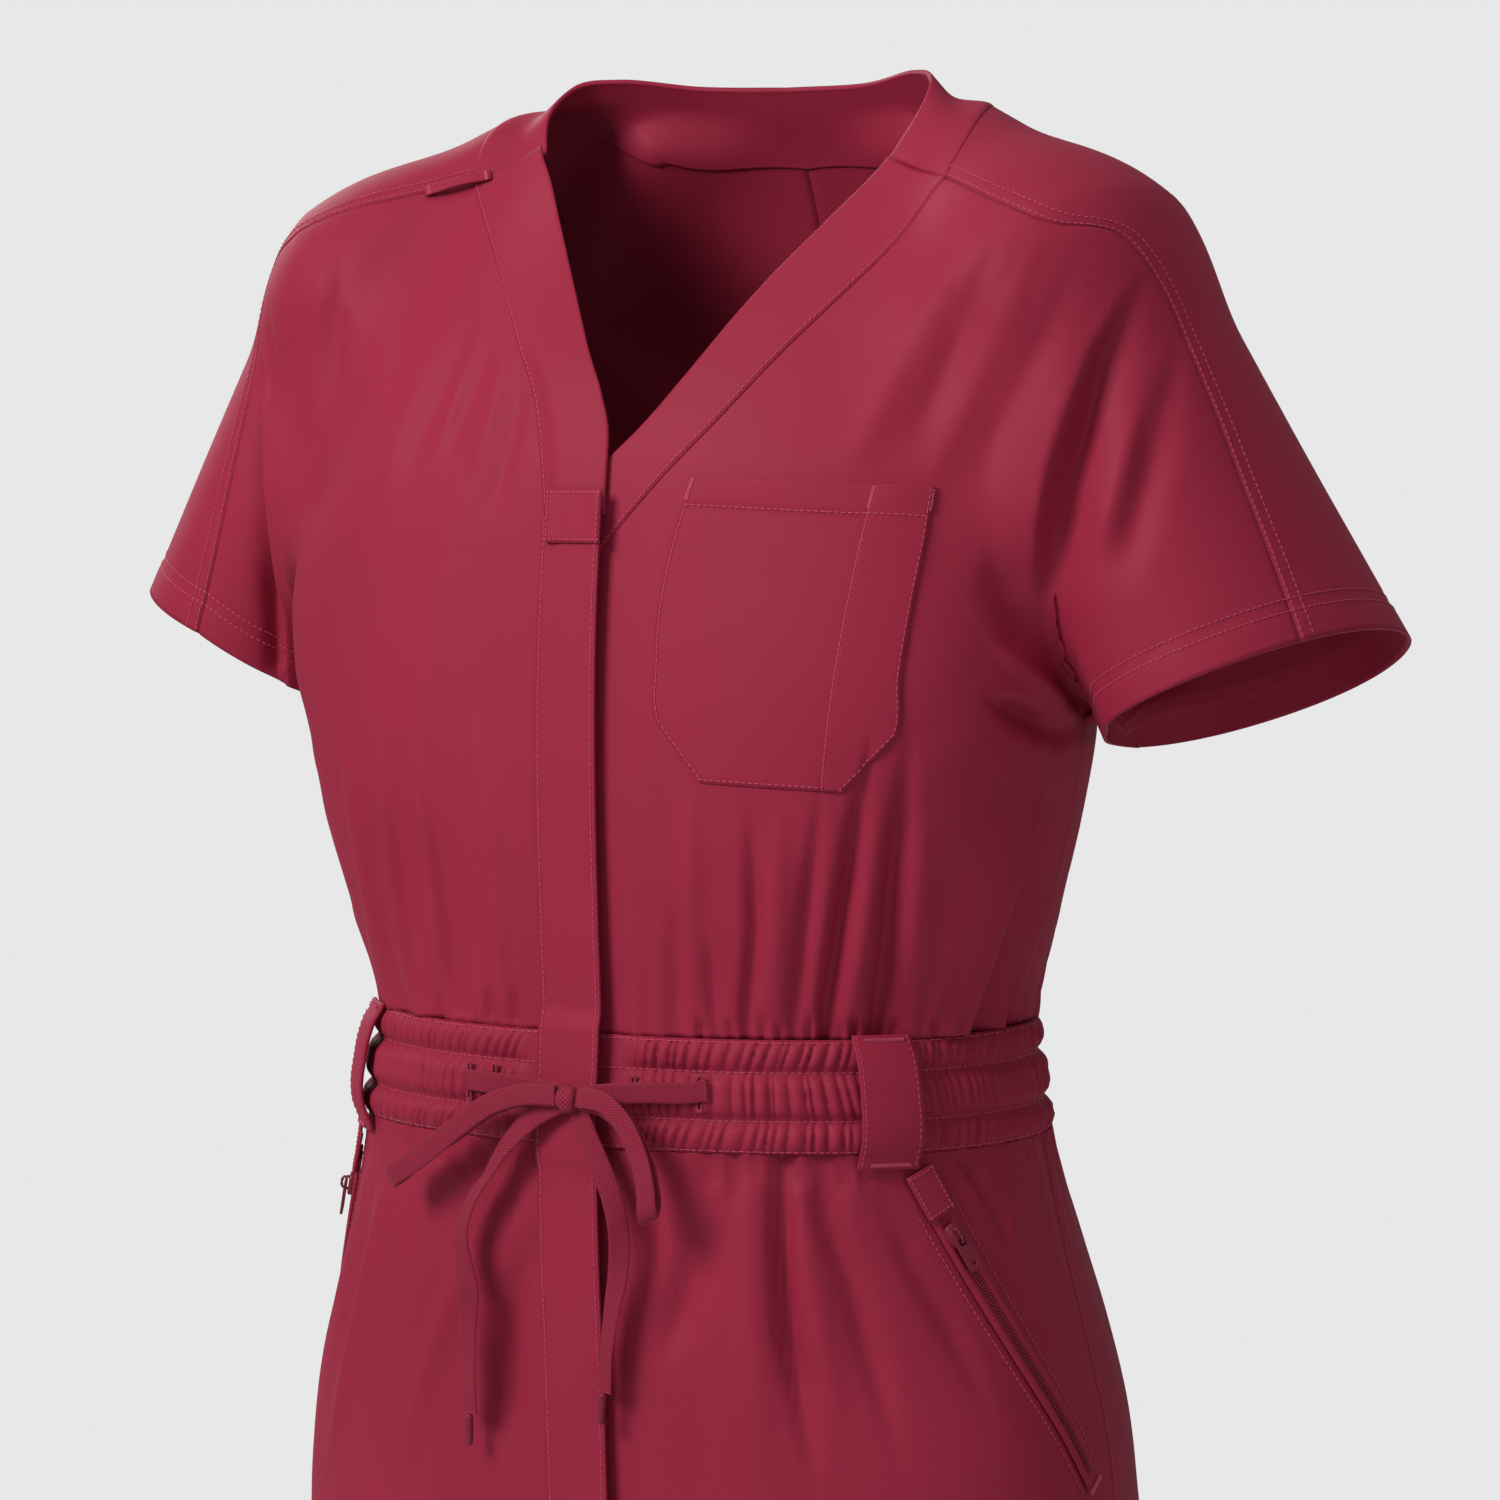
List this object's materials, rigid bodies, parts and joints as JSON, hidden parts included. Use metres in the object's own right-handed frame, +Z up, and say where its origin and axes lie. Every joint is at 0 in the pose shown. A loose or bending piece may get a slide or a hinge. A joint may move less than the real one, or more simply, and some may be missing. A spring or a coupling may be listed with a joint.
{
  "type": "one-piece scrubs jumpsuit",
  "caption": "Short-sleeved scrubs in one piece: wrap neck, front placket, gathered elastic waist with a drawstring bow, chest pocket, zipped hip pockets and straight legs.",
  "frame": {"origin": "midway between the high points of the shoulders, where the wearer's shoulders carry the garment", "axes": "+Z up, -Y to the wearer's front, +X to the wearer's left"},
  "size_m": [0.5731, 0.2743, 1.4118],
  "materials": {
    "cloth": "matt with a slight sheen",
    "tape": "matt ribbed tape",
    "zip_metal": "satin, in the colour of the cloth"
  },
  "bodies": {
    "garment": {"front_right": "cloth", "front_left": "cloth", "back_right": "cloth", "back_left": "cloth", "neckband_left": "cloth", "neckband_right": "cloth", "neckband_back": "cloth", "chest_pocket": "cloth", "pen_pocket": "cloth", "waistband_right": "cloth", "waistband_left": "cloth", "trouser_front_right": "cloth", "trouser_front_left": "cloth", "trouser_back_right": "cloth", "trouser_back_left": "cloth", "placket": "cloth", "placket_tab": "cloth", "belt_loop_right": "cloth", "belt_loop_left": "cloth", "shoulder_loop": "cloth", "zip_tape_right": "tape", "zip_garage_right": "cloth", "zip_slider_right": "zip_metal", "zip_tape_left": "tape", "zip_garage_left": "cloth", "zip_slider_left": "zip_metal", "drawstring_right_in": "tape", "drawstring_left_in": "tape", "drawstring_right_loop": "tape", "drawstring_left_loop": "tape", "drawstring_right_tail": "tape", "drawstring_left_tail": "tape", "drawstring_knot": "tape", "drawstring_aglet_right": "zip_metal", "drawstring_aglet_left": "zip_metal"},
    "pull_tab_right": {"zip_pull_tab_right": "zip_metal"},
    "pull_tab_left": {"zip_pull_tab_left": "zip_metal"}
  },
  "joints": [
    {"name": "pull_tab_right_hinge", "type": "hinge", "parent": "garment", "child": "pull_tab_right", "pos_m": [-0.14668, -0.04845, -0.46064], "axis": [-0.384, 0.8029, 0.4559], "range_deg": [0, 165]},
    {"name": "pull_tab_left_hinge", "type": "hinge", "parent": "garment", "child": "pull_tab_left", "pos_m": [0.14668, -0.04845, -0.46064], "axis": [-0.384, -0.8029, -0.4559], "range_deg": [0, 165]}
  ]
}
